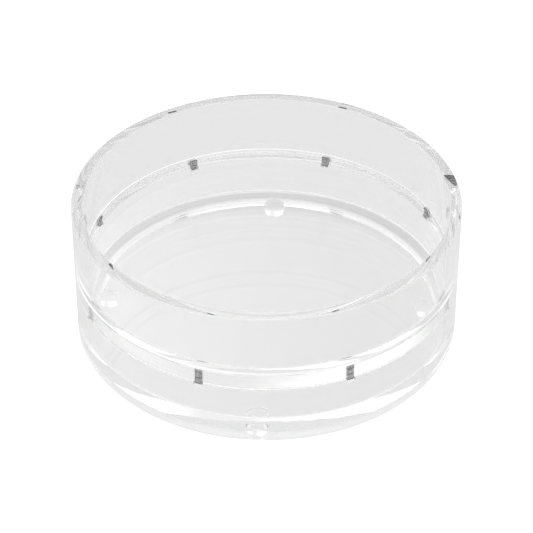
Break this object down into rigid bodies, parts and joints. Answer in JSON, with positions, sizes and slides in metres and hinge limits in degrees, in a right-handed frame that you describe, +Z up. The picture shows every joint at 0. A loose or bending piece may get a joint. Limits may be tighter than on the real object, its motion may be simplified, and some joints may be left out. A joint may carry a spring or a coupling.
{
  "type": "petri dish",
  "caption": "Clear round petri dish in two flat-floored halves: an open upper dish whose stepped foot seats in the rim of the base dish, with small dark keys in the joint.",
  "frame": {"origin": "centre of the plane the base dish stands on", "axes": "+Z up along the dish's centre line, from the base dish to the open rim of the upper dish"},
  "size_m": [0.04, 0.04, 0.016],
  "materials": {
    "base_dish": "clear moulded plastic, polished",
    "upper_dish": "clear moulded plastic, polished",
    "key": "dark grey, finely ridged"
  },
  "bodies": {
    "base": {"base_dish": "base_dish"},
    "upper": {"upper_dish": "upper_dish", "key_1": "key", "key_2": "key", "key_3": "key", "key_4": "key", "key_5": "key", "key_6": "key", "key_7": "key", "key_8": "key"}
  },
  "joints": [
    {"name": "upper_lift", "type": "slide", "parent": "base", "child": "upper", "axis": [0, 0, 1], "range_m": [0, 0.025]}
  ]
}
